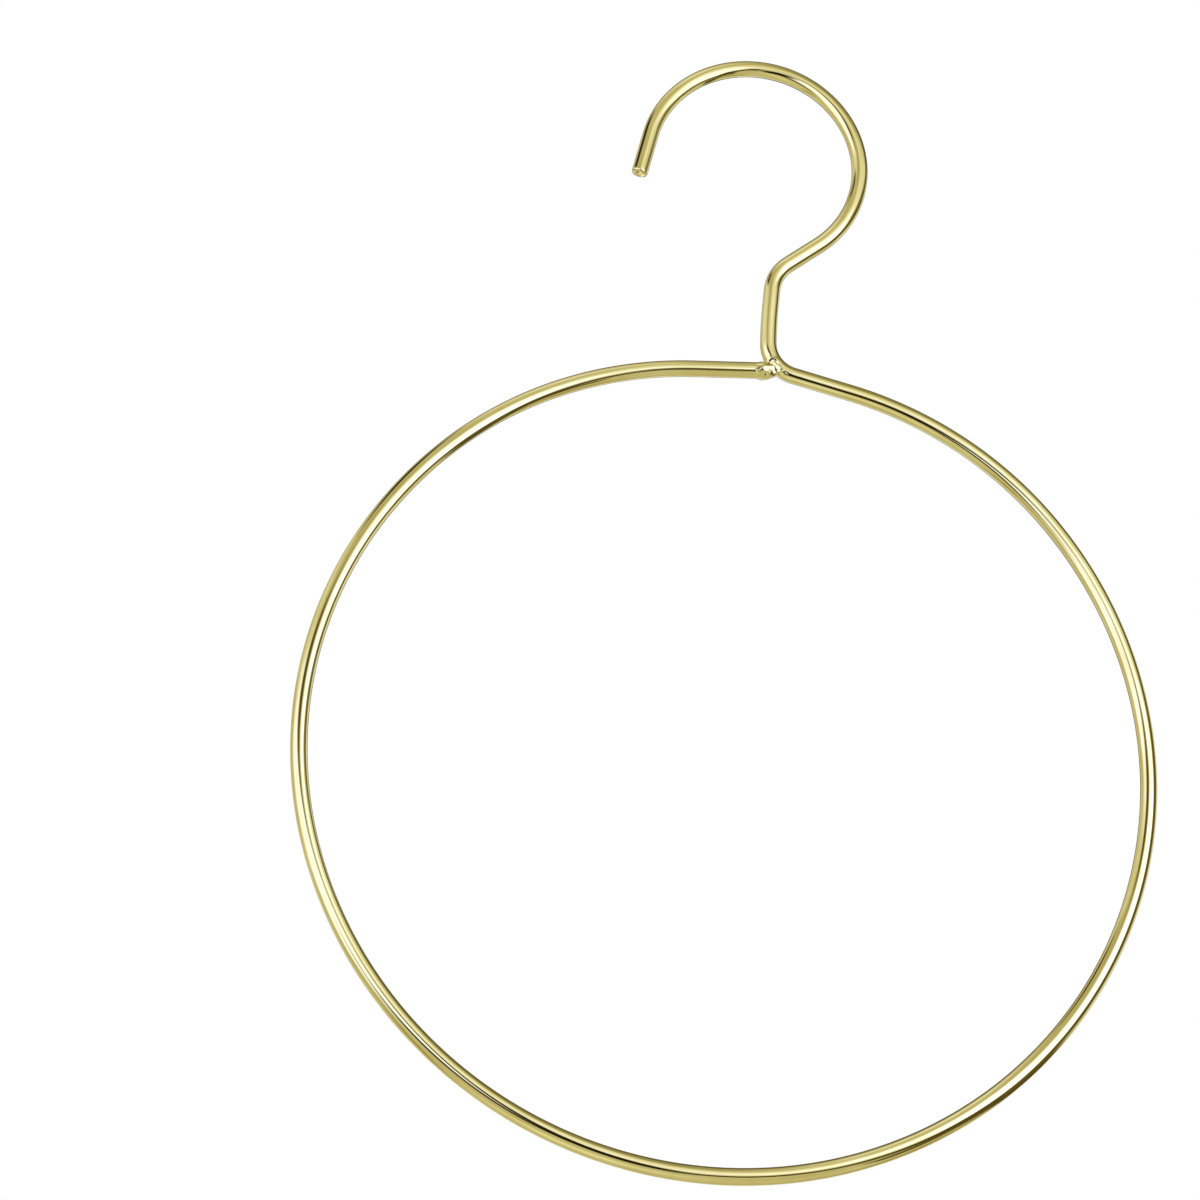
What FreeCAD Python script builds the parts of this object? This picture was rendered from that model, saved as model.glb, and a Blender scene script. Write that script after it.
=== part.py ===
import FreeCAD, Part
import math
import os

from FreeCAD import Vector

# Scarf hanger: one round steel wire, bent into a hook and a ring and closed by a weld.
# Millimetres. The ring hangs in the XZ plane, +Z is up and the hook's tip is on the -X side.
# The origin is the top of the hook's inside, where the hanger rests on its rail.

# The wire and the ring that carries the scarf
wire_diameter = 4.0
ring_outer_diameter = 200.0
rail_to_ring_centre = 175.0

# The hook: its bow, the cut tip and the neck that brings the bow back over the shank
hook_inside_diameter = 48.0
bow_setback = 7.3
neck_turn = 45.0
neck_bend_radius = 5.0
tip_flare = 9.0
tip_length = 11.3
tip_edge_radius = 0.8

# The foot: the shank sweeps out and bends into the ring's right arm
shank_sweep_radius = 120.0
shank_sweep_turn = 4.3
foot_bend_radius = 8.1

# The shoulders: above this angle the ring is rolled tighter, and its two ends stay straight
shoulder_angle = 44.0
shoulder_flattening = 8.2
right_lead_slope = 9.6
left_lead_slope = 7.0

# The weld: the left arm's square end, a root gap short of the foot, and the bead over it
weld_root_gap = 0.3
bead_length = 7.4
bead_height = 4.4
bead_proud = 0.7
bead_ahead = 1.3
bead_rise = 0.8

# Lumps on the bead's front and back: place along and across the bead, and size, as shares of the
# bead's half length, half height and half thickness
front_lump_shares = ((-0.55, -0.10, 0.62), (-0.05, 0.50, 0.60), (0.22, -0.38, 0.66), (0.62, 0.05, 0.54))
back_lump_shares = ((-0.42, 0.12, 0.64), (0.10, -0.30, 0.66), (0.52, 0.20, 0.58))
lump_depth_share = 0.52

wire_radius = wire_diameter / 2
bow_radius = hook_inside_diameter / 2 + wire_radius
ring_radius = ring_outer_diameter / 2 - wire_radius
shoulder_radius = ring_radius - shoulder_flattening
shank_x = bow_setback


def direction(angle):
    return Vector(math.cos(math.radians(angle)), 0, math.sin(math.radians(angle)))


def on_circle(centre, radius, angle):
    return centre + direction(angle) * radius


def run(start, end):
    return Part.LineSegment(start, end).toShape()


def bend(centre, radius, start_angle, end_angle):
    middle_angle = (start_angle + end_angle) / 2
    start = on_circle(centre, radius, start_angle)
    middle = on_circle(centre, radius, middle_angle)
    end = on_circle(centre, radius, end_angle)
    return Part.Arc(start, middle, end).toShape()


# Hook: a straight tip that leans outwards, and the bow from the tip over to the neck
bow_centre = Vector(0, 0, -hook_inside_diameter / 2)
tip_angle = 180 - tip_flare
tip_root = on_circle(bow_centre, bow_radius, tip_angle)
tip_end = tip_root + direction(tip_angle + 90) * tip_length
neck_top = on_circle(bow_centre, bow_radius, -neck_turn)

# Neck: leaves the bow on its tangent and turns straight down over the ring's centre
turn = math.radians(neck_turn)
neck_reach = (bow_radius * math.cos(turn) - bow_setback) / math.sin(turn)
neck_corner = neck_top + direction(-90 - neck_turn) * neck_reach
neck_bend_drop = neck_bend_radius * math.tan(turn / 2)
neck_bend_centre = neck_corner + Vector(neck_bend_radius, 0, -neck_bend_drop)
neck_foot = on_circle(neck_bend_centre, neck_bend_radius, 180 - neck_turn)
shank_top = on_circle(neck_bend_centre, neck_bend_radius, 180)

# Ring: one circle, a tighter shoulder on each side of the top, and a straight lead from each shoulder
ring_centre = Vector(shank_x, 0, -rail_to_ring_centre)
left_shoulder_angle = 180 - shoulder_angle
right_shoulder_centre = on_circle(ring_centre, shoulder_flattening, shoulder_angle)
left_shoulder_centre = on_circle(ring_centre, shoulder_flattening, left_shoulder_angle)
right_lead_angle = 90 - right_lead_slope
left_lead_angle = 90 + left_lead_slope
right_lead_end = on_circle(right_shoulder_centre, shoulder_radius, right_lead_angle)
left_lead_start = on_circle(left_shoulder_centre, shoulder_radius, left_lead_angle)

# Foot: the sweep and the foot bend turn the shank until it runs along the right lead
sweep = math.radians(shank_sweep_turn)
right_slope = math.radians(right_lead_slope)
foot_x = shank_x + shank_sweep_radius - (shank_sweep_radius - foot_bend_radius) * math.cos(sweep)
foot_over_lead = foot_bend_radius - (foot_x - right_lead_end.x) * math.sin(right_slope)
foot_centre = Vector(foot_x, 0, right_lead_end.z + foot_over_lead / math.cos(right_slope))
sweep_rise = (shank_sweep_radius - foot_bend_radius) * math.sin(sweep)
sweep_centre = Vector(shank_x + shank_sweep_radius, 0, foot_centre.z + sweep_rise)
shank_foot = on_circle(sweep_centre, shank_sweep_radius, 180)
sweep_end_angle = 180 + shank_sweep_turn
foot_end_angle = 270 - right_lead_slope
right_lead_start = on_circle(foot_centre, foot_bend_radius, foot_end_angle)

# Left arm's end: its upper corner stops the root gap short of the outside of the foot bend
along_left_lead = direction(left_lead_slope)
across_left_lead = direction(left_lead_angle)
corner_from_foot = left_lead_start + across_left_lead * wire_radius - foot_centre
reach_from_foot = foot_bend_radius + wire_radius + weld_root_gap
along_to_foot = corner_from_foot.dot(along_left_lead)
inside_reach = along_to_foot ** 2 - corner_from_foot.Length ** 2 + reach_from_foot ** 2
left_end = left_lead_start + along_left_lead * (-along_to_foot - math.sqrt(inside_reach))

# The wire's centre line, from the hook's tip to the left arm's end
wire_runs = [
    run(tip_end, tip_root),
    bend(bow_centre, bow_radius, tip_angle, -neck_turn),
    run(neck_top, neck_foot),
    bend(neck_bend_centre, neck_bend_radius, 180 - neck_turn, 180),
    run(shank_top, shank_foot),
    bend(sweep_centre, shank_sweep_radius, 180, sweep_end_angle),
    bend(foot_centre, foot_bend_radius, sweep_end_angle, foot_end_angle),
    run(right_lead_start, right_lead_end),
    bend(right_shoulder_centre, shoulder_radius, right_lead_angle, shoulder_angle),
    bend(ring_centre, ring_radius, shoulder_angle, left_shoulder_angle - 360),
    bend(left_shoulder_centre, shoulder_radius, left_shoulder_angle, left_lead_angle),
    run(left_lead_start, left_end),
]
centre_line = Part.Wire(wire_runs)


# Formed wire: a round section along the centre line, with the rim of the hook's tip rounded off
def make_hanger_wire():
    section_circle = Part.Circle(tip_end, tip_root - tip_end, wire_radius)
    section = Part.Wire([section_circle.toShape()])
    body = centre_line.makePipeShell([section], True, False)
    rims = [edge for edge in body.Edges if edge.CenterOfMass.isEqual(tip_end, tip_edge_radius)]
    return body.makeFillet(tip_edge_radius, rims)


# One lump of weld metal: a ball stretched to the half sizes given along, through and across the bead
def weld_lump(centre, half_length, half_thickness, half_height):
    stretch = FreeCAD.Matrix()
    stretch.scale(Vector(half_length, half_thickness, half_height))
    lump = Part.makeSphere(1).transformGeometry(stretch)
    lump.rotate(Vector(0, 0, 0), Vector(0, -1, 0), left_lead_slope)
    lump.translate(centre)
    return lump


# Weld bead: fills the wedge between the left arm's end and the foot bend and stands proud of the wire
def make_weld_bead(hanger_wire):
    half_length = bead_length / 2
    half_height = bead_height / 2
    half_thickness = wire_radius + bead_proud
    bead_centre = left_end + along_left_lead * bead_ahead + across_left_lead * bead_rise
    bead = weld_lump(bead_centre, half_length, half_thickness, half_height)
    for side, lump_shares in ((-1, front_lump_shares), (1, back_lump_shares)):
        for along_share, across_share, size_share in lump_shares:
            centre = bead_centre + along_left_lead * half_length * along_share
            centre += across_left_lead * half_height * across_share
            centre += Vector(0, side * half_thickness * lump_depth_share, 0)
            size = half_height * size_share
            bead = bead.fuse(weld_lump(centre, size, size, size))
    return bead.cut(hanger_wire)


os.makedirs("parts", exist_ok=True)

hanger_wire = make_hanger_wire()
hanger_wire.exportStep("parts/hanger_wire.step")

weld_bead = make_weld_bead(hanger_wire)
weld_bead.exportStep("parts/weld_bead.step")

swept_volume = math.pi * wire_radius ** 2 * centre_line.Length
print("wire length", round(centre_line.Length, 2))
print("wire volume over section times length", round(hanger_wire.Volume / swept_volume, 5))
print("weld bead solids", len(weld_bead.Solids), "volume", round(weld_bead.Volume, 2))
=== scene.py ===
import math

import bmesh
import bpy
import numpy as np
from mathutils import Matrix, Vector


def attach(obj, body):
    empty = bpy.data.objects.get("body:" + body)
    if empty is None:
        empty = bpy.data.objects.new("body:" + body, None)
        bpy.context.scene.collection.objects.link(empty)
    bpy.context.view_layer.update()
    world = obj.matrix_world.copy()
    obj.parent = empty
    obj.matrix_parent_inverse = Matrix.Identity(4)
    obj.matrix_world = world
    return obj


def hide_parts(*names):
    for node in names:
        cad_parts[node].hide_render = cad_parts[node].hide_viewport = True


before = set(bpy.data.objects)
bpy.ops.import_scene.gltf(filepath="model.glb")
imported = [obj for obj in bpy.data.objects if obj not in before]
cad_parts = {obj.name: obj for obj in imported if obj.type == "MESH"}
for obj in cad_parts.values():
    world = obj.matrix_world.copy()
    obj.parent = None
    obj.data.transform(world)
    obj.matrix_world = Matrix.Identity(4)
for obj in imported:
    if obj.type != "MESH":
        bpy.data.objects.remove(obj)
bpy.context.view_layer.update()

# Formed wire.
# One length of round steel wire, drawn bright and straightened, bent cold on a wire former from the hook's
# sheared tip over the bow, down the shank, round the foot and once round the ring, then plated pale gold.
mm = 0.001
scene = bpy.context.scene
wire_radius = 1.965 * mm
wire_sides = 64
straightening_wave = 0.012 * mm

# Cut ends: the tip's rim is rounded off, and the other end keeps the small rim of its cut.
tip_rim_radius = 0.8 * mm
cut_rim_radius = 0.12 * mm
face_rings = 16
face_step = 0.002 * mm
face_depth = face_rings * face_step
rim_rings = 12

# Straight runs and bends of the centre line from the hook's tip to the left arm's end, turns in degrees
tip_end = Vector((-27.448, 0.0, -31.094)) * mm
tip_heading = 81.0
tip_length = 11.3 * mm
bow_radius, bow_turn = 26.0 * mm, -219.0
neck_straight = 9.135 * mm
neck_radius, neck_turn = 10.0 * mm, 48.0
shank_straight = 5.183 * mm
sweep_radius, sweep_turn = 120.0 * mm, 4.3
foot_radius, foot_turn = 8.1 * mm, 76.1
right_lead = 14.006 * mm
shoulder_radius = 89.8 * mm
right_shoulder_turn, left_shoulder_turn = -36.4, -39.0
ring_radius, ring_turn = 98.0 * mm, -268.0
left_lead = 16.92 * mm
ring_step, hook_step, bend_step = 1.2 * mm, 0.8 * mm, 0.4 * mm

# The wire former feeds straight runs and turns bends; a turn to the left is positive.
path_points = []
path_radii = []
former = {"place": tip_end, "heading": math.radians(tip_heading)}


def former_ahead():
    return Vector((math.cos(former["heading"]), 0.0, math.sin(former["heading"])))


def lay_point(radius=wire_radius):
    path_points.append(former["place"].copy())
    path_radii.append(radius)


def feed(length):
    count = max(1, round(length / ring_step))
    for _ in range(count):
        former["place"] = former["place"] + former_ahead() * (length / count)
        lay_point()


def turn(radius, angle, step):
    side = math.copysign(1.0, angle)
    sweep = math.radians(angle)
    heading = former["heading"]
    centre = former["place"] + Vector((-math.sin(heading), 0.0, math.cos(heading))) * radius * side
    count = max(3, round(abs(sweep) * radius / step))
    for number in range(1, count + 1):
        now = heading + sweep * number / count
        former["place"] = centre - Vector((-math.sin(now), 0.0, math.cos(now))) * radius * side
        lay_point()
    former["heading"] = heading + sweep
    return centre


# Rings of a cut end, as depth from the cut and radius: the face from its middle, then the rounded rim
def cut_end_rings(rim_radius):
    face_radius = wire_radius - rim_radius
    rings = [(number * face_step, face_radius * number / face_rings) for number in range(face_rings)]
    for number in range(rim_rings + 1):
        angle = math.pi / 2 * number / rim_rings
        deep = face_depth + rim_radius * (1 - math.cos(angle))
        rings.append((deep, face_radius + rim_radius * math.sin(angle)))
    return rings


tip_inward = former_ahead()
for deep, radius in cut_end_rings(tip_rim_radius):
    former["place"] = tip_end + tip_inward * deep
    lay_point(radius)
feed(tip_length - face_depth - tip_rim_radius)
turn(bow_radius, bow_turn, hook_step)
feed(neck_straight)
turn(neck_radius, neck_turn, bend_step)
feed(shank_straight)
turn(sweep_radius, sweep_turn, hook_step)
foot_centre = turn(foot_radius, foot_turn, bend_step)
feed(right_lead)
turn(shoulder_radius, right_shoulder_turn, ring_step)
turn(ring_radius, ring_turn, ring_step)
turn(shoulder_radius, left_shoulder_turn, ring_step)
feed(left_lead)
arm_end = path_points.pop()
path_radii.pop()
for deep, radius in reversed(cut_end_rings(cut_rim_radius)):
    former["place"] = arm_end - former_ahead() * deep
    lay_point(radius)

wire_curve = bpy.data.curves.new("wire_path", "CURVE")
wire_curve.dimensions = "3D"
wire_spline = wire_curve.splines.new("POLY")
wire_spline.points.add(len(path_points) - 1)
for spline_point, place, radius in zip(wire_spline.points, path_points, path_radii):
    spline_point.co = (place.x, place.y, place.z, 1.0)
    spline_point.radius = radius / wire_radius
wire_path = bpy.data.objects.new("wire_path", wire_curve)
scene.collection.objects.link(wire_path)

# Plated wire finish: bright pale gold over drawn steel, with the faint lengthwise lines of the drawing die
# under it, a slight peel in the plating, and thinner, paler or deeper patches along the wire.
deep_gold = (0.745, 0.645, 0.295, 1.0)
pale_gold = (0.880, 0.812, 0.468, 1.0)
gold_span = (0.40, 0.62)
tone_line_share = 0.6
die_stretch = 0.004
# Scale, detail and roughness of each pattern
die_line_pattern = (7000.0, 3.0, 0.6)
die_streak_pattern = (1500.0, 2.0, 0.5)
tone_line_pattern = (2600.0, 2.0, 0.6)
peel_pattern = (1100.0, 2.0, 0.5)
patch_pattern = (75.0, 3.0, 0.55)
# Roughness of the plating over the drawing lines, and what the patches add to it
line_span, line_gloss = (0.25, 0.75), (0.03, 0.06)
patch_span, patch_gloss = (0.30, 0.70), (0.0, 0.02)
streak_depth = 0.010 * mm
line_depth = 0.0006 * mm
peel_depth = 0.0006 * mm
# Where the drawing lines begin behind the tip's face, and where they are whole
face_edge = 0.03 * mm
lines_whole = 0.5 * mm
plated_wire = bpy.data.materials.new("plated_wire_pale_gold")
plated_wire.use_nodes = True
finish = plated_wire.node_tree
finish.nodes.clear()


def put(tree, kind, values=None, **settings):
    node = tree.nodes.new(kind)
    for name, value in settings.items():
        setattr(node, name, value)
    for name, value in (values or {}).items():
        node.inputs[name].default_value = value
    return node


def fit_range(tree, value, span, fitted):
    ends = {"From Min": span[0], "From Max": span[1], "To Min": fitted[0], "To Max": fitted[1]}
    node = put(tree, "ShaderNodeMapRange", ends)
    tree.links.new(value, node.inputs["Value"])
    return node.outputs["Result"]


def noise(tree, place, pattern):
    scale, detail, roughness = pattern
    node = put(tree, "ShaderNodeTexNoise", {"Scale": scale, "Detail": detail, "Roughness": roughness})
    tree.links.new(place, node.inputs["Vector"])
    return node.outputs["Fac"]


def tone_ramp(tree, value, span, tones):
    node = put(tree, "ShaderNodeValToRGB")
    for stop, place, tone in zip(node.color_ramp.elements, span, tones):
        stop.position = place
        stop.color = tone
    tree.links.new(value, node.inputs["Fac"])
    return node.outputs["Color"]


def relief(tree, height, depth, under=None):
    node = put(tree, "ShaderNodeBump", {"Strength": 1.0, "Distance": depth})
    tree.links.new(height, node.inputs["Height"])
    if under:
        tree.links.new(under.outputs["Normal"], node.inputs["Normal"])
    return node


# Drawing lines lie on the wire's round section and are drawn out along it.
along_wire = put(finish, "ShaderNodeAttribute", attribute_name="along").outputs["Fac"]
across_wire = put(finish, "ShaderNodeAttribute", attribute_name="across")
across_parts = put(finish, "ShaderNodeSeparateXYZ")
finish.links.new(across_wire.outputs["Vector"], across_parts.inputs["Vector"])
drawn_out = put(finish, "ShaderNodeMath", {1: die_stretch}, operation="MULTIPLY")
finish.links.new(along_wire, drawn_out.inputs[0])
die_marks = put(finish, "ShaderNodeCombineXYZ")
finish.links.new(across_parts.outputs["X"], die_marks.inputs["X"])
finish.links.new(across_parts.outputs["Y"], die_marks.inputs["Y"])
finish.links.new(drawn_out.outputs["Value"], die_marks.inputs["Z"])
die_place = die_marks.outputs["Vector"]
die_lines = noise(finish, die_place, die_line_pattern)
die_streaks = noise(finish, die_place, die_streak_pattern)
tone_lines = noise(finish, die_place, tone_line_pattern)
wire_place = put(finish, "ShaderNodeTexCoord").outputs["Object"]
peel = noise(finish, wire_place, peel_pattern)
patches = noise(finish, wire_place, patch_pattern)

# The sheared face of the tip has no drawing lines. A mix node takes numbers on its sockets 2 and 3.
line_share = fit_range(finish, along_wire, (face_edge, lines_whole), (0.0, tone_line_share))
tone_mix = put(finish, "ShaderNodeMix", data_type="FLOAT")
finish.links.new(line_share, tone_mix.inputs["Factor"])
finish.links.new(patches, tone_mix.inputs[2])
finish.links.new(tone_lines, tone_mix.inputs[3])
gold_tone = tone_ramp(finish, tone_mix.outputs[0], gold_span, (deep_gold, pale_gold))
gloss = put(finish, "ShaderNodeMath", operation="ADD")
finish.links.new(fit_range(finish, die_lines, line_span, line_gloss), gloss.inputs[0])
finish.links.new(fit_range(finish, patches, patch_span, patch_gloss), gloss.inputs[1])
streak_relief = relief(finish, die_streaks, streak_depth)
streak_share = fit_range(finish, along_wire, (face_edge, lines_whole), (0.0, 1.0))
finish.links.new(streak_share, streak_relief.inputs["Strength"])
line_relief = relief(finish, die_lines, line_depth, streak_relief)
peel_relief = relief(finish, peel, peel_depth, line_relief)
gold = put(finish, "ShaderNodeBsdfPrincipled", {"Metallic": 1.0})
finish.links.new(gold_tone, gold.inputs["Base Color"])
finish.links.new(gloss.outputs["Value"], gold.inputs["Roughness"])
finish.links.new(peel_relief.outputs["Normal"], gold.inputs["Normal"])
surface = put(finish, "ShaderNodeOutputMaterial")
finish.links.new(gold.outputs["BSDF"], surface.inputs["Surface"])

# The tree that draws the round wire along its path, leaves the slight waves of the straightening rolls in
# it, and dishes the face of the sheared tip and breaks it into shallow facets.
roll_pattern = (95.0, 1.0, 0.4)
tip_shear_depth = 0.55 * mm
facet_scale = 800.0
facet_reach = 0.35 * mm
facet_share = 0.24
dish_share = 0.20
merge_distance = 0.0005 * mm
wire_tree = bpy.data.node_groups.new("drawn_wire", "GeometryNodeTree")
sockets = wire_tree.interface
sockets.new_socket("Path", in_out="INPUT", socket_type="NodeSocketGeometry")
radius_in = sockets.new_socket("Wire Radius", in_out="INPUT", socket_type="NodeSocketFloat")
sides_in = sockets.new_socket("Sides", in_out="INPUT", socket_type="NodeSocketInt")
wave_in = sockets.new_socket("Straightening Wave", in_out="INPUT", socket_type="NodeSocketFloat")
shear_in = sockets.new_socket("Tip Shear", in_out="INPUT", socket_type="NodeSocketVector")
finish_in = sockets.new_socket("Finish", in_out="INPUT", socket_type="NodeSocketMaterial")
sockets.new_socket("Wire", in_out="OUTPUT", socket_type="NodeSocketGeometry")
join = wire_tree.links.new
given = put(wire_tree, "NodeGroupInput")

# The path keeps its length and the round section its place, for the finish.
upright = put(wire_tree, "GeometryNodeSetCurveNormal", {"Normal": (0.0, -1.0, 0.0)}, mode="FREE")
measure = put(wire_tree, "GeometryNodeSplineParameter")
keep_along = put(wire_tree, "GeometryNodeStoreNamedAttribute", {"Name": "along"}, data_type="FLOAT")
section = put(wire_tree, "GeometryNodeCurvePrimitiveCircle")
node_place = put(wire_tree, "GeometryNodeInputPosition").outputs["Position"]
keep_across = put(
    wire_tree, "GeometryNodeStoreNamedAttribute", {"Name": "across"}, data_type="FLOAT_VECTOR"
)
end_size = put(wire_tree, "GeometryNodeInputRadius")
draw = put(wire_tree, "GeometryNodeCurveToMesh")
close_ends = put(wire_tree, "GeometryNodeMergeByDistance", {"Distance": merge_distance})
join(given.outputs["Path"], upright.inputs["Curve"])
join(upright.outputs["Curve"], keep_along.inputs["Geometry"])
join(measure.outputs["Length"], keep_along.inputs["Value"])
join(given.outputs["Sides"], section.inputs["Resolution"])
join(given.outputs["Wire Radius"], section.inputs["Radius"])
join(section.outputs["Curve"], keep_across.inputs["Geometry"])
join(node_place, keep_across.inputs["Value"])
join(keep_along.outputs["Geometry"], draw.inputs["Curve"])
join(keep_across.outputs["Geometry"], draw.inputs["Profile Curve"])
join(end_size.outputs["Radius"], draw.inputs["Scale"])
join(draw.outputs["Mesh"], close_ends.inputs["Geometry"])

# Waves go inwards from the drawn size.
waves = noise(wire_tree, node_place, roll_pattern)
wave_size = put(wire_tree, "ShaderNodeMath", operation="MULTIPLY")
wave_depth = put(wire_tree, "ShaderNodeMath", {1: -1.0}, operation="MULTIPLY")
out_of_wire = put(wire_tree, "GeometryNodeInputNormal")
wave_move = put(wire_tree, "ShaderNodeVectorMath", operation="SCALE")
roll_waves = put(wire_tree, "GeometryNodeSetPosition")
join(close_ends.outputs["Geometry"], roll_waves.inputs["Geometry"])
join(waves, wave_size.inputs[0])
join(given.outputs["Straightening Wave"], wave_size.inputs[1])
join(wave_size.outputs["Value"], wave_depth.inputs[0])
join(out_of_wire.outputs["Normal"], wave_move.inputs[0])
join(wave_depth.outputs["Value"], wave_move.inputs["Scale"])
join(wave_move.outputs["Vector"], roll_waves.inputs["Offset"])

# Facets fade out over the tip's rim, and the dish is deepest in the middle of the face.
kept_along = put(wire_tree, "GeometryNodeInputNamedAttribute", {"Name": "along"}, data_type="FLOAT")
from_tip = kept_along.outputs["Attribute"]
facets = put(wire_tree, "ShaderNodeTexVoronoi", {"Scale": facet_scale, "Randomness": 1.0}, feature="F1")
facet_fade = fit_range(wire_tree, from_tip, (face_edge, facet_reach), (facet_share, 0.0))
facet_depth = put(wire_tree, "ShaderNodeMath", operation="MULTIPLY")
dish = fit_range(wire_tree, from_tip, (0.0, face_depth), (dish_share, 0.0))
sunk = put(wire_tree, "ShaderNodeMath", operation="ADD")
facet_move = put(wire_tree, "ShaderNodeVectorMath", operation="SCALE")
shear_face = put(wire_tree, "GeometryNodeSetPosition")
join(facets.outputs["Distance"], facet_depth.inputs[0])
join(facet_fade, facet_depth.inputs[1])
join(facet_depth.outputs["Value"], sunk.inputs[0])
join(dish, sunk.inputs[1])
join(given.outputs["Tip Shear"], facet_move.inputs[0])
join(sunk.outputs["Value"], facet_move.inputs["Scale"])
join(roll_waves.outputs["Geometry"], shear_face.inputs["Geometry"])
join(facet_move.outputs["Vector"], shear_face.inputs["Offset"])

smooth = put(wire_tree, "GeometryNodeSetShadeSmooth")
realize = put(wire_tree, "GeometryNodeRealizeInstances")
coat = put(wire_tree, "GeometryNodeSetMaterial")
result = put(wire_tree, "NodeGroupOutput")
join(shear_face.outputs["Geometry"], smooth.inputs["Geometry"])
join(smooth.outputs["Geometry"], realize.inputs["Geometry"])
join(realize.outputs["Geometry"], coat.inputs["Geometry"])
join(given.outputs["Finish"], coat.inputs["Material"])
join(coat.outputs["Geometry"], result.inputs["Wire"])

drawing = wire_path.modifiers.new("drawn_wire", "NODES")
drawing.node_group = wire_tree
drawing[radius_in.identifier] = wire_radius
drawing[sides_in.identifier] = wire_sides
drawing[wave_in.identifier] = straightening_wave
drawing[shear_in.identifier] = tip_inward * tip_shear_depth
drawing[finish_in.identifier] = plated_wire
evaluated = wire_path.evaluated_get(bpy.context.evaluated_depsgraph_get())
drawn = bpy.data.meshes.new_from_object(evaluated)
wire_path.modifiers.clear()
bpy.data.objects.remove(wire_path)
formed_wire = bpy.data.objects.new("formed_wire", drawn)
scene.collection.objects.link(formed_wire)
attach(formed_wire, "root")
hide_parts("hanger_wire")

# Weld.
# Weld metal melted into the wedge between the left arm's square end and the outside of the foot bend. It
# wets both wires, set with flat facets, drips and one groove, and was plated together with the wire.

# The two wires that it joins, in mm
round_wire = wire_radius / mm
foot_middle = np.array(foot_centre) / mm
foot_bend = foot_radius / mm
foot_start = math.radians(180.0 + sweep_turn)
foot_end = foot_start + math.radians(foot_turn)
arm_cut = np.array(arm_end) / mm
arm_cut_round = 0.3
along_arm = np.array(former_ahead())
out_of_front = np.array((0.0, -1.0, 0.0))
across_arm = np.array((-along_arm[2], 0.0, along_arm[0]))

# The weld's sizes are in mm. Places on it are counted from the arm's cut end: along the arm, out of the
# front and across the arm. First its middle, and its reach along and across the arm
weld_middle = np.array((1.3, 0.0, 0.2))
weld_reach = np.array((4.7, 3.7))
# How far apart surfaces still melt together: the two wires, the fills, the fills with the wires, the facets
fillet = 1.1
flow = 0.6
wetting = 0.38
facet_edge = 0.14
# Skin of weld metal over the bare wires, and how far it sinks under them at the toe
skin_height = 0.014
toe_sink = 0.034
# Start and length of the toe, and of the fade to the bare wires, as shares of the reach
toe_start, toe_length = 0.40, 0.58
fade_start, fade_length = 0.66, 0.30
# Place and half sizes of the fill of the wedge, and of the sag under the arm's end
wedge_fill = ((0.9, 0.0, -0.05), (2.4, 1.95, 1.80))
sag_fill = ((-0.50, 0.0, -0.12), (2.1, 2.32, 2.20))
# Flat facets on the front: how far each looks to the right and down, in degrees, and a point on it
weld_facets = (
    ((0.0, 47.0), (-0.50, 1.36, -1.45)),
    ((20.0, 16.0), (0.10, 2.14, -0.20)),
    ((-14.0, 16.0), (-1.00, 2.20, -0.20)),
)
# Drips and lumps: front (1) or back (-1), place along and across the arm, half sizes, and height
weld_bumps = (
    (1, (-2.05, -1.00), (0.60, 0.50), 0.18),
    (1, (1.05, -1.10), (0.60, 0.50), 0.26),
    (1, (3.60, -0.90), (0.60, 0.50), 0.20),
    (1, (1.95, 1.95), (1.05, 0.80), 0.18),
    (-1, (-1.30, 0.20), (0.80, 0.70), 0.20),
    (-1, (0.80, -0.80), (0.70, 0.60), 0.24),
    (-1, (2.70, 0.50), (0.85, 0.75), 0.22),
    (-1, (1.10, 1.60), (0.60, 0.60), 0.18),
)
# They rise over this distance from the wires' middle plane.
bump_rise = 0.6
# Ripples of the setting metal: height, pitch, lean in radians, and start as a share of the pitch
weld_ripples = ((0.006, 1.9, 0.5, 0.2), (0.004, 1.3, -0.9, 0.6))
ripple_slant = 0.35
# Groove on the front, bent into an arch: its middle along and across the arm, its radius, the angles
# where it starts and ends, its half width, the waves of that width as share, count and start, its soft rim
# as a share of the width, its depth, and how far out of the wires' middle plane it begins
groove_middle = (1.85, 1.58)
groove_radius = 0.74
groove_start, groove_end = math.radians(18.0), math.radians(170.0)
groove_half = 0.19
groove_waves = ((0.30, 2.6, 0.4), (0.28, 7.0, 1.0))
groove_rim = 1.35
groove_depth = 0.11
front_half = 0.8


def from_arm_cut(places):
    moved = places - arm_cut
    return np.stack((moved @ along_arm, moved @ out_of_front, moved @ across_arm), axis=1)


def foot_distance(places):
    away = places - foot_middle
    angle = np.mod(np.arctan2(away[:, 2], away[:, 0]), 2 * math.pi)
    bend = np.hypot(np.hypot(away[:, 0], away[:, 2]) - foot_bend, away[:, 1])
    for limit, past in ((foot_start, angle < foot_start), (foot_end, angle > foot_end)):
        outward = np.array((math.cos(limit), 0.0, math.sin(limit)))
        straight = np.hypot(away @ outward - foot_bend, away[:, 1])
        bend = np.where(past, straight, bend)
    return bend - round_wire


def arm_distance(local):
    side = np.hypot(local[:, 1], local[:, 2]) - round_wire + arm_cut_round
    front = local[:, 0] + arm_cut_round
    outside = np.hypot(np.maximum(side, 0.0), np.maximum(front, 0.0))
    return outside + np.minimum(np.maximum(side, front), 0.0) - arm_cut_round


def fill_distance(local, middle, half):
    half = np.array(half)
    away = (local - np.array(middle)) / half
    return (np.sqrt((away ** 2).sum(axis=1)) - 1.0) * half.min()


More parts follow.
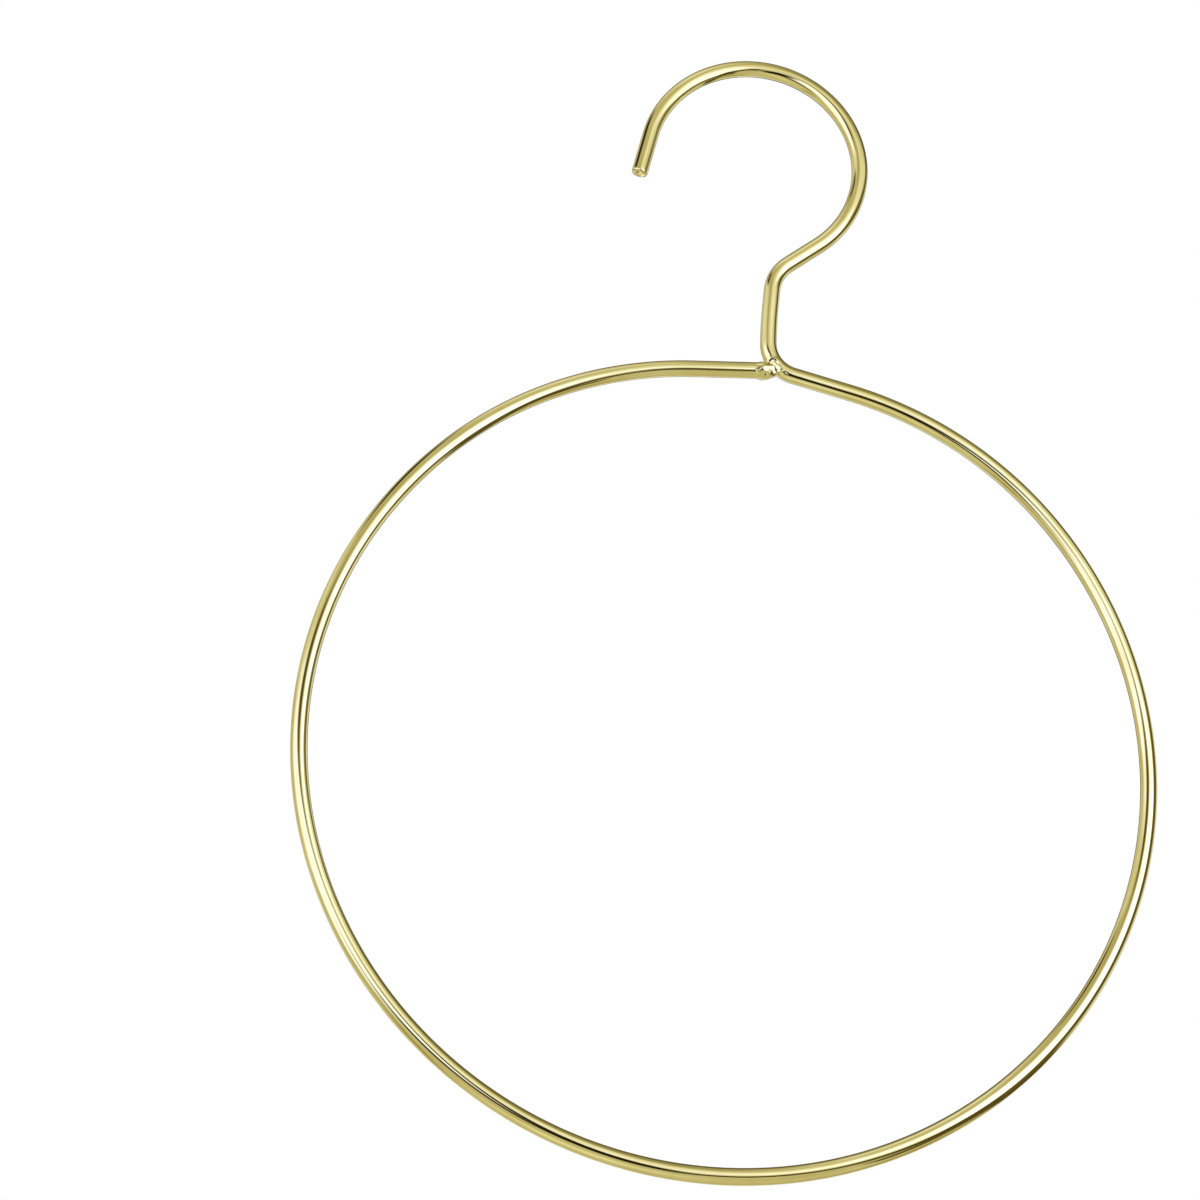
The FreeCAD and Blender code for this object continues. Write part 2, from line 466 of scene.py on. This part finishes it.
def facet_distance(local, turn_right, turn_down, on_facet):
    right, down = math.radians(turn_right), math.radians(turn_down)
    level = math.cos(down)
    looks = np.array((math.sin(right) * level, math.cos(right) * level, -math.sin(down)))
    return (local - np.array(on_facet)) @ looks


def melt(first, second, reach):
    share = np.clip(0.5 + 0.5 * (second - first) / reach, 0.0, 1.0)
    return second + (first - second) * share - reach * share * (1.0 - share)


def ease(value):
    share = np.clip(value, 0.0, 1.0)
    return share * share * (3.0 - 2.0 * share)


# Distance of places from the weld's skin, less than zero inside
def weld_distance(places):
    local = from_arm_cut(places)
    along, out, across = local.T
    away = np.hypot((along - weld_middle[0]) / weld_reach[0], (across - weld_middle[2]) / weld_reach[1])
    toe = ease((away - toe_start) / toe_length)
    bare = melt(foot_distance(places), arm_distance(local), fillet) - skin_height + toe_sink * toe
    filled = melt(fill_distance(local, *wedge_fill), fill_distance(local, *sag_fill), flow)
    for (turn_right, turn_down), on_facet in weld_facets:
        filled = -melt(-filled, -facet_distance(local, turn_right, turn_down, on_facet), facet_edge)
    melted = melt(bare, filled, wetting)
    for side, (bump_along, bump_across), (half_along, half_across), height in weld_bumps:
        spread = ((along - bump_along) / half_along) ** 2 + ((across - bump_across) / half_across) ** 2
        melted = melted - height * np.exp(-spread) * np.clip(out * side / bump_rise, 0.0, 1.0)
    for height, pitch, lean, start in weld_ripples:
        phase = (along * math.cos(lean) + across * math.sin(lean) + ripple_slant * out) / pitch + start
        melted = melted + (1.0 - toe) * height * np.sin(phase * 2.0 * math.pi)
    melted = melted + (bare - melted) * ease((away - fade_start) / fade_length)
    return np.maximum(melted, (away - 1.0) * weld_reach.min())


# Rays from inside the weld stop where they meet its skin.
ray_divisions = 7
ray_start = 0.2
ray_strides = 70
stride_share = 0.8
ball = bmesh.new()
bmesh.ops.create_icosphere(ball, subdivisions=ray_divisions, radius=1.0)
rays = np.array([vertex.co[:] for vertex in ball.verts])
weld_core = arm_cut + along_arm * weld_middle[0] + across_arm * weld_middle[2]
far = np.full(len(rays), ray_start)
for _ in range(ray_strides):
    far = far + np.maximum(-weld_distance(weld_core + rays * far[:, None]), 0.0) * stride_share
places = weld_core + rays * far[:, None]

# The groove is sunk into the front of the skin, and its mask is kept for the near-black colouring.
local = from_arm_cut(places)
groove_along, groove_across = local[:, 0] - groove_middle[0], local[:, 2] - groove_middle[1]
quarter = math.pi / 2
groove_angle = np.mod(np.arctan2(groove_across, groove_along) + quarter, 2 * math.pi) - quarter
groove_angle = np.clip(groove_angle, groove_start, groove_end)
groove_away = np.hypot(
    groove_along - groove_radius * np.cos(groove_angle), groove_across - groove_radius * np.sin(groove_angle)
)
groove_width = np.full(len(places), groove_half)
for wave_share, wave_count, wave_start in groove_waves:
    groove_width = groove_width + groove_half * wave_share * np.cos(wave_count * groove_angle + wave_start)
groove_mask = ease(groove_rim - groove_away / groove_width) * (local[:, 1] > front_half)
places = places - out_of_front * (groove_depth * groove_mask)[:, None]
for vertex, place in zip(ball.verts, places):
    vertex.co = Vector(place) * mm
weld_mesh = bpy.data.meshes.new("weld")
ball.to_mesh(weld_mesh)
ball.free()
weld_mesh.shade_smooth()
groove_layer = weld_mesh.attributes.new("groove_mask", "FLOAT", "POINT")
groove_layer.data.foreach_set("value", groove_mask.astype(np.float32))

# Plated weld finish: the same pale gold over metal that set from the melt, with a fine crust, a duller skin
# than the drawn wire, and the groove coloured near black and rougher.
weld_deep_gold = (0.760, 0.665, 0.320, 1.0)
weld_pale_gold = (0.840, 0.765, 0.430, 1.0)
weld_gold_span = (0.32, 0.70)
grain_pattern = (1600.0, 4.0, 0.6)
crust_scale = 1300.0
# Roughness of the plated skin, what the groove's near-black colouring adds to it, and how far into the
# groove it begins
grain_span, grain_gloss = (0.30, 0.70), (0.06, 0.12)
groove_gloss = 0.45
groove_span = (0.25, 0.60)
# Near-black colour laid over the groove
groove_near_black = (0.020, 0.014, 0.006, 1.0)
crust_depth = 0.0025 * mm
grain_depth = 0.0008 * mm
plated_weld = bpy.data.materials.new("plated_weld_pale_gold")
plated_weld.use_nodes = True
skin = plated_weld.node_tree
skin.nodes.clear()
weld_place = put(skin, "ShaderNodeTexCoord").outputs["Object"]
grain = noise(skin, weld_place, grain_pattern)
crust = put(skin, "ShaderNodeTexVoronoi", {"Scale": crust_scale, "Randomness": 1.0}, feature="SMOOTH_F1")
skin.links.new(weld_place, crust.inputs["Vector"])
groove_marks = put(skin, "ShaderNodeAttribute", attribute_name="groove_mask")
groove_share = fit_range(skin, groove_marks.outputs["Fac"], groove_span, (0.0, 1.0))
weld_tone = tone_ramp(skin, grain, weld_gold_span, (weld_deep_gold, weld_pale_gold))
# A mix node takes colours on its sockets 6 and 7.
# The groove is coloured near black.
groove_tone = put(skin, "ShaderNodeMix", {7: groove_near_black}, data_type="RGBA")
skin.links.new(groove_share, groove_tone.inputs["Factor"])
skin.links.new(weld_tone, groove_tone.inputs[6])
skin_gloss = put(skin, "ShaderNodeMath", {1: groove_gloss}, operation="MULTIPLY_ADD")
skin.links.new(groove_share, skin_gloss.inputs[0])
skin.links.new(fit_range(skin, grain, grain_span, grain_gloss), skin_gloss.inputs[2])
crust_relief = relief(skin, crust.outputs["Distance"], crust_depth)
grain_relief = relief(skin, grain, grain_depth, crust_relief)
weld_gold = put(skin, "ShaderNodeBsdfPrincipled", {"Metallic": 1.0})
skin.links.new(groove_tone.outputs[2], weld_gold.inputs["Base Color"])
skin.links.new(skin_gloss.outputs["Value"], weld_gold.inputs["Roughness"])
skin.links.new(grain_relief.outputs["Normal"], weld_gold.inputs["Normal"])
weld_surface = put(skin, "ShaderNodeOutputMaterial")
skin.links.new(weld_gold.outputs["BSDF"], weld_surface.inputs["Surface"])
weld_mesh.materials.append(plated_weld)
weld = bpy.data.objects.new("weld", weld_mesh)
scene.collection.objects.link(weld)
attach(weld, "root")
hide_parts("weld_bead")

# Camera.
# In front of the ring, a little to its left and below it, looking up, as in the photograph.
eye_place = Vector((-0.0905, -0.8539, -0.4780))
eye_ahead = Vector((0.07036, 0.92817, 0.36550)).normalized()
picture_right = Vector((0.988, -0.114, 0.100))
eye = bpy.data.cameras.new("photo_camera")
eye.lens = 119.475
eye.sensor_width = 36.0
camera = bpy.data.objects.new("photo_camera", eye)
scene.collection.objects.link(camera)
eye_up = picture_right.cross(eye_ahead).normalized()
eye_right = eye_ahead.cross(eye_up).normalized()
turned = Matrix((eye_right, eye_up, -eye_ahead)).transposed().to_4x4()
turned.translation = eye_place
camera.matrix_world = turned
scene.camera = camera

# Floor.
# A plain pale floor well under the hanging piece, which the lower half of the wire mirrors. Seen by itself,
# it fades to the white of the open background.
floor_radius = 3.0
floor_height = -0.65
fade_span = (0.7, 2.8)
pale_grey = (0.74, 0.735, 0.715, 1.0)
open_white = (1.0, 1.0, 1.0, 1.0)
warm_paper = (0.77, 0.72, 0.57, 1.0)
floor_mesh = bpy.data.meshes.new("studio_floor")
floor_place = Matrix.Translation((0.0, 0.0, floor_height))
disc = bmesh.new()
bmesh.ops.create_circle(disc, cap_ends=True, segments=96, radius=floor_radius, matrix=floor_place)
disc.to_mesh(floor_mesh)
disc.free()
floor = bpy.data.objects.new("studio_floor", floor_mesh)
scene.collection.objects.link(floor)
pale_floor = bpy.data.materials.new("pale_floor")
pale_floor.use_nodes = True
paper = pale_floor.node_tree
paper.nodes.clear()
on_floor = put(paper, "ShaderNodeTexCoord")
from_middle = put(paper, "ShaderNodeVectorMath", operation="LENGTH")
paper.links.new(on_floor.outputs["Object"], from_middle.inputs[0])
floor_fade = fit_range(paper, from_middle.outputs["Value"], fade_span, (0.0, 1.0))
floor_tone = tone_ramp(paper, floor_fade, (0.0, 1.0), (pale_grey, open_white))
floor_seen = put(paper, "ShaderNodeEmission")
paper.links.new(floor_tone, floor_seen.inputs["Color"])
floor_mirrored = put(paper, "ShaderNodeBsdfDiffuse", {"Color": warm_paper})
floor_sight = put(paper, "ShaderNodeLightPath")
floor_both = put(paper, "ShaderNodeMixShader")
floor_surface = put(paper, "ShaderNodeOutputMaterial")
paper.links.new(floor_sight.outputs["Is Camera Ray"], floor_both.inputs["Fac"])
paper.links.new(floor_mirrored.outputs["BSDF"], floor_both.inputs[1])
paper.links.new(floor_seen.outputs["Emission"], floor_both.inputs[2])
paper.links.new(floor_both.outputs["Shader"], floor_surface.inputs["Surface"])
floor_mesh.materials.append(pale_floor)

# Studio cards.
# Soft-edged panels of light and dark flags round the hanger, which the polished wire mirrors as its bright
# bands and thin dark lines. Each faces the ring's centre and is out of the camera's sight.
ring_centre = Vector((7.3, 0.0, -175.0)) * mm
corner_power = 3.0


def studio_card(name, round_angle, up_angle, distance, half_width, half_height, lean, soft, light):
    around, up, tilt = math.radians(round_angle), math.radians(up_angle), math.radians(lean)
    away = Vector((math.sin(around) * math.cos(up), -math.cos(around) * math.cos(up), math.sin(up)))
    level = Vector((math.cos(around), math.sin(around), 0.0))
    upward = away.cross(level)
    if upward.z < 0.0:
        upward = -upward
    side = level * math.cos(tilt) + upward * math.sin(tilt)
    top = upward * math.cos(tilt) - level * math.sin(tilt)
    reach = 1.0 + soft
    corners = ((-reach, -reach), (reach, -reach), (reach, reach), (-reach, reach))
    middle = ring_centre + away * distance * mm
    places = [middle + side * (x * half_width * mm) + top * (y * half_height * mm) for x, y in corners]
    card_mesh = bpy.data.meshes.new(name)
    card_mesh.from_pydata(places, [], [(0, 1, 2, 3)])
    card_map = card_mesh.uv_layers.new(name="card")
    for corner, place in zip(card_map.uv, corners):
        corner.vector = place
    cloth = bpy.data.materials.new(name)
    cloth.use_nodes = True
    tree = cloth.node_tree
    tree.nodes.clear()
    on_card = put(tree, "ShaderNodeUVMap", uv_map="card")
    parts = put(tree, "ShaderNodeSeparateXYZ")
    tree.links.new(on_card.outputs["UV"], parts.inputs["Vector"])
    total = put(tree, "ShaderNodeMath", operation="ADD")
    for number, axis in enumerate("XY"):
        size = put(tree, "ShaderNodeMath", operation="ABSOLUTE")
        raised = put(tree, "ShaderNodeMath", {1: corner_power}, operation="POWER")
        tree.links.new(parts.outputs[axis], size.inputs[0])
        tree.links.new(size.outputs["Value"], raised.inputs[0])
        tree.links.new(raised.outputs["Value"], total.inputs[number])
    root = put(tree, "ShaderNodeMath", {1: 1.0 / corner_power}, operation="POWER")
    tree.links.new(total.outputs["Value"], root.inputs[0])
    ends = {"From Min": 1.0 + soft, "From Max": 1.0 - soft}
    fade = put(tree, "ShaderNodeMapRange", ends, interpolation_type="SMOOTHSTEP")
    tree.links.new(root.outputs["Value"], fade.inputs["Value"])
    clear = put(tree, "ShaderNodeBsdfTransparent")
    glow = put(tree, "ShaderNodeEmission", {"Color": (*light, 1.0)})
    both = put(tree, "ShaderNodeMixShader")
    out = put(tree, "ShaderNodeOutputMaterial")
    tree.links.new(fade.outputs["Result"], both.inputs["Fac"])
    tree.links.new(clear.outputs["BSDF"], both.inputs[1])
    tree.links.new(glow.outputs["Emission"], both.inputs[2])
    tree.links.new(both.outputs["Shader"], out.inputs["Surface"])
    card_mesh.materials.append(cloth)
    card = bpy.data.objects.new(name, card_mesh)
    scene.collection.objects.link(card)
    card.visible_camera = False
    card.visible_diffuse = False
    card.visible_shadow = False


# Name; angles round the ring's centre from the front, and up, in degrees; distance, half width and half
# height, in mm; lean in degrees; softness of the edge as a share of the half sizes; light
studio_card("ceiling", -65, 70, 1090, 650, 1685, 63, 0.2, (0.6, 0.57, 0.38))
studio_card("ceiling_glow", -50, 69, 800, 250, 115, 0, 0.8, (0.98, 1.0, 0.95))
studio_card("back_wall", 150, 60, 900, 720, 360, 0, 0.35, (0.17, 0.15, 0.06))
studio_card("edge_flag", 176, 21, 900, 480, 480, 0, 0.3, (0.08, 0.07, 0.03))
studio_card("tip_flag", 185, 3, 503, 110, 48, 0, 0.5, (0.03, 0.025, 0.01))
studio_card("right_sill", 73, -32, 415, 920, 66, 3, 0.4, (0.1, 0.078, 0.02))
studio_card("left_sill", -23, -27, 430, 180, 58, 2, 0.4, (0.03, 0.022, 0.006))
studio_card("side_sill", -44, -19, 470, 70, 17, -20, 0.6, (0.25, 0.22, 0.12))
studio_card("right_flag", 82, 2, 345, 105, 1480, -15, 0.45, (0.13, 0.1, 0.027))
studio_card("key_panel", 42, 2, 473, 354, 199, -38, 0.33, (1.75, 1.85, 2.5))
studio_card("left_panel", -44, -4, 805, 705, 385, -5, 0.33, (1.3, 1.38, 1.85))
studio_card("front_gap", -22, 19.6, 800, 235, 92, -6, 0.45, (0.115, 0.082, 0.008))
studio_card("front_post", -5, 12, 640, 16, 110, 8, 0.6, (0.25, 0.22, 0.12))
studio_card("upper_gap", -30, 33, 790, 60, 90, 0, 0.6, (0.42, 0.36, 0.16))
studio_card("upper_flag", -86, 50.5, 480, 126, 60, -16, 0.45, (0.03, 0.02, 0.005))
studio_card("front_flag", -3, -14.7, 413, 56, 175, 10, 0.28, (0.015, 0.01, 0.004))
studio_card("low_flag", 11, -27.5, 540, 46, 27, 0, 0.5, (0.03, 0.022, 0.006))
studio_card("mid_flag", 11, -14, 1300, 105, 150, 0, 0.4, (0.05, 0.04, 0.012))
studio_card("right_post", 68, 21, 1000, 95, 200, -10, 0.5, (0.2, 0.16, 0.05))
studio_card("upper_right", 55, 67, 600, 175, 174, -30, 0.6, (0.32, 0.3, 0.14))
studio_card("front_ceiling", 12, 38, 720, 150, 60, 0, 0.6, (0.98, 0.95, 0.74))
studio_card("low_panel", -61, -21, 1230, 361, 149, 34, 0.6, (1.25, 1.28, 1.3))
studio_card("left_wall", -119, 13, 777, 296, 432, 36, 0.7, (0.64, 0.58, 0.37))
studio_card("floor_glow", -45, -70, 440, 190, 90, 0, 0.8, (0.9, 0.89, 0.66))
studio_card("left_floor", -108, -46, 640, 220, 90, 0, 0.8, (0.46, 0.38, 0.14))
studio_card("back_panel", 180, -14, 900, 520, 110, 0, 0.5, (1.3, 1.35, 1.5))
studio_card("right_floor", 125, -40, 560, 200, 90, 0, 0.8, (0.42, 0.37, 0.14))

# Room.
# Even soft light from all round; the open background behind the hanger shows plain white.
room_light = (0.83, 0.85, 0.70, 1.0)
world = bpy.data.worlds.new("studio")
scene.world = world
world.use_nodes = True
room = world.node_tree
room.nodes.clear()
soft_light = put(room, "ShaderNodeBackground", {"Color": room_light})
open_back = put(room, "ShaderNodeBackground", {"Color": open_white})
sight = put(room, "ShaderNodeLightPath")
either = put(room, "ShaderNodeMixShader")
sky = put(room, "ShaderNodeOutputWorld")
room.links.new(sight.outputs["Is Camera Ray"], either.inputs["Fac"])
room.links.new(soft_light.outputs["Background"], either.inputs[1])
room.links.new(open_back.outputs["Background"], either.inputs[2])
room.links.new(either.outputs["Shader"], sky.inputs["Surface"])
scene.view_settings.view_transform = "Standard"
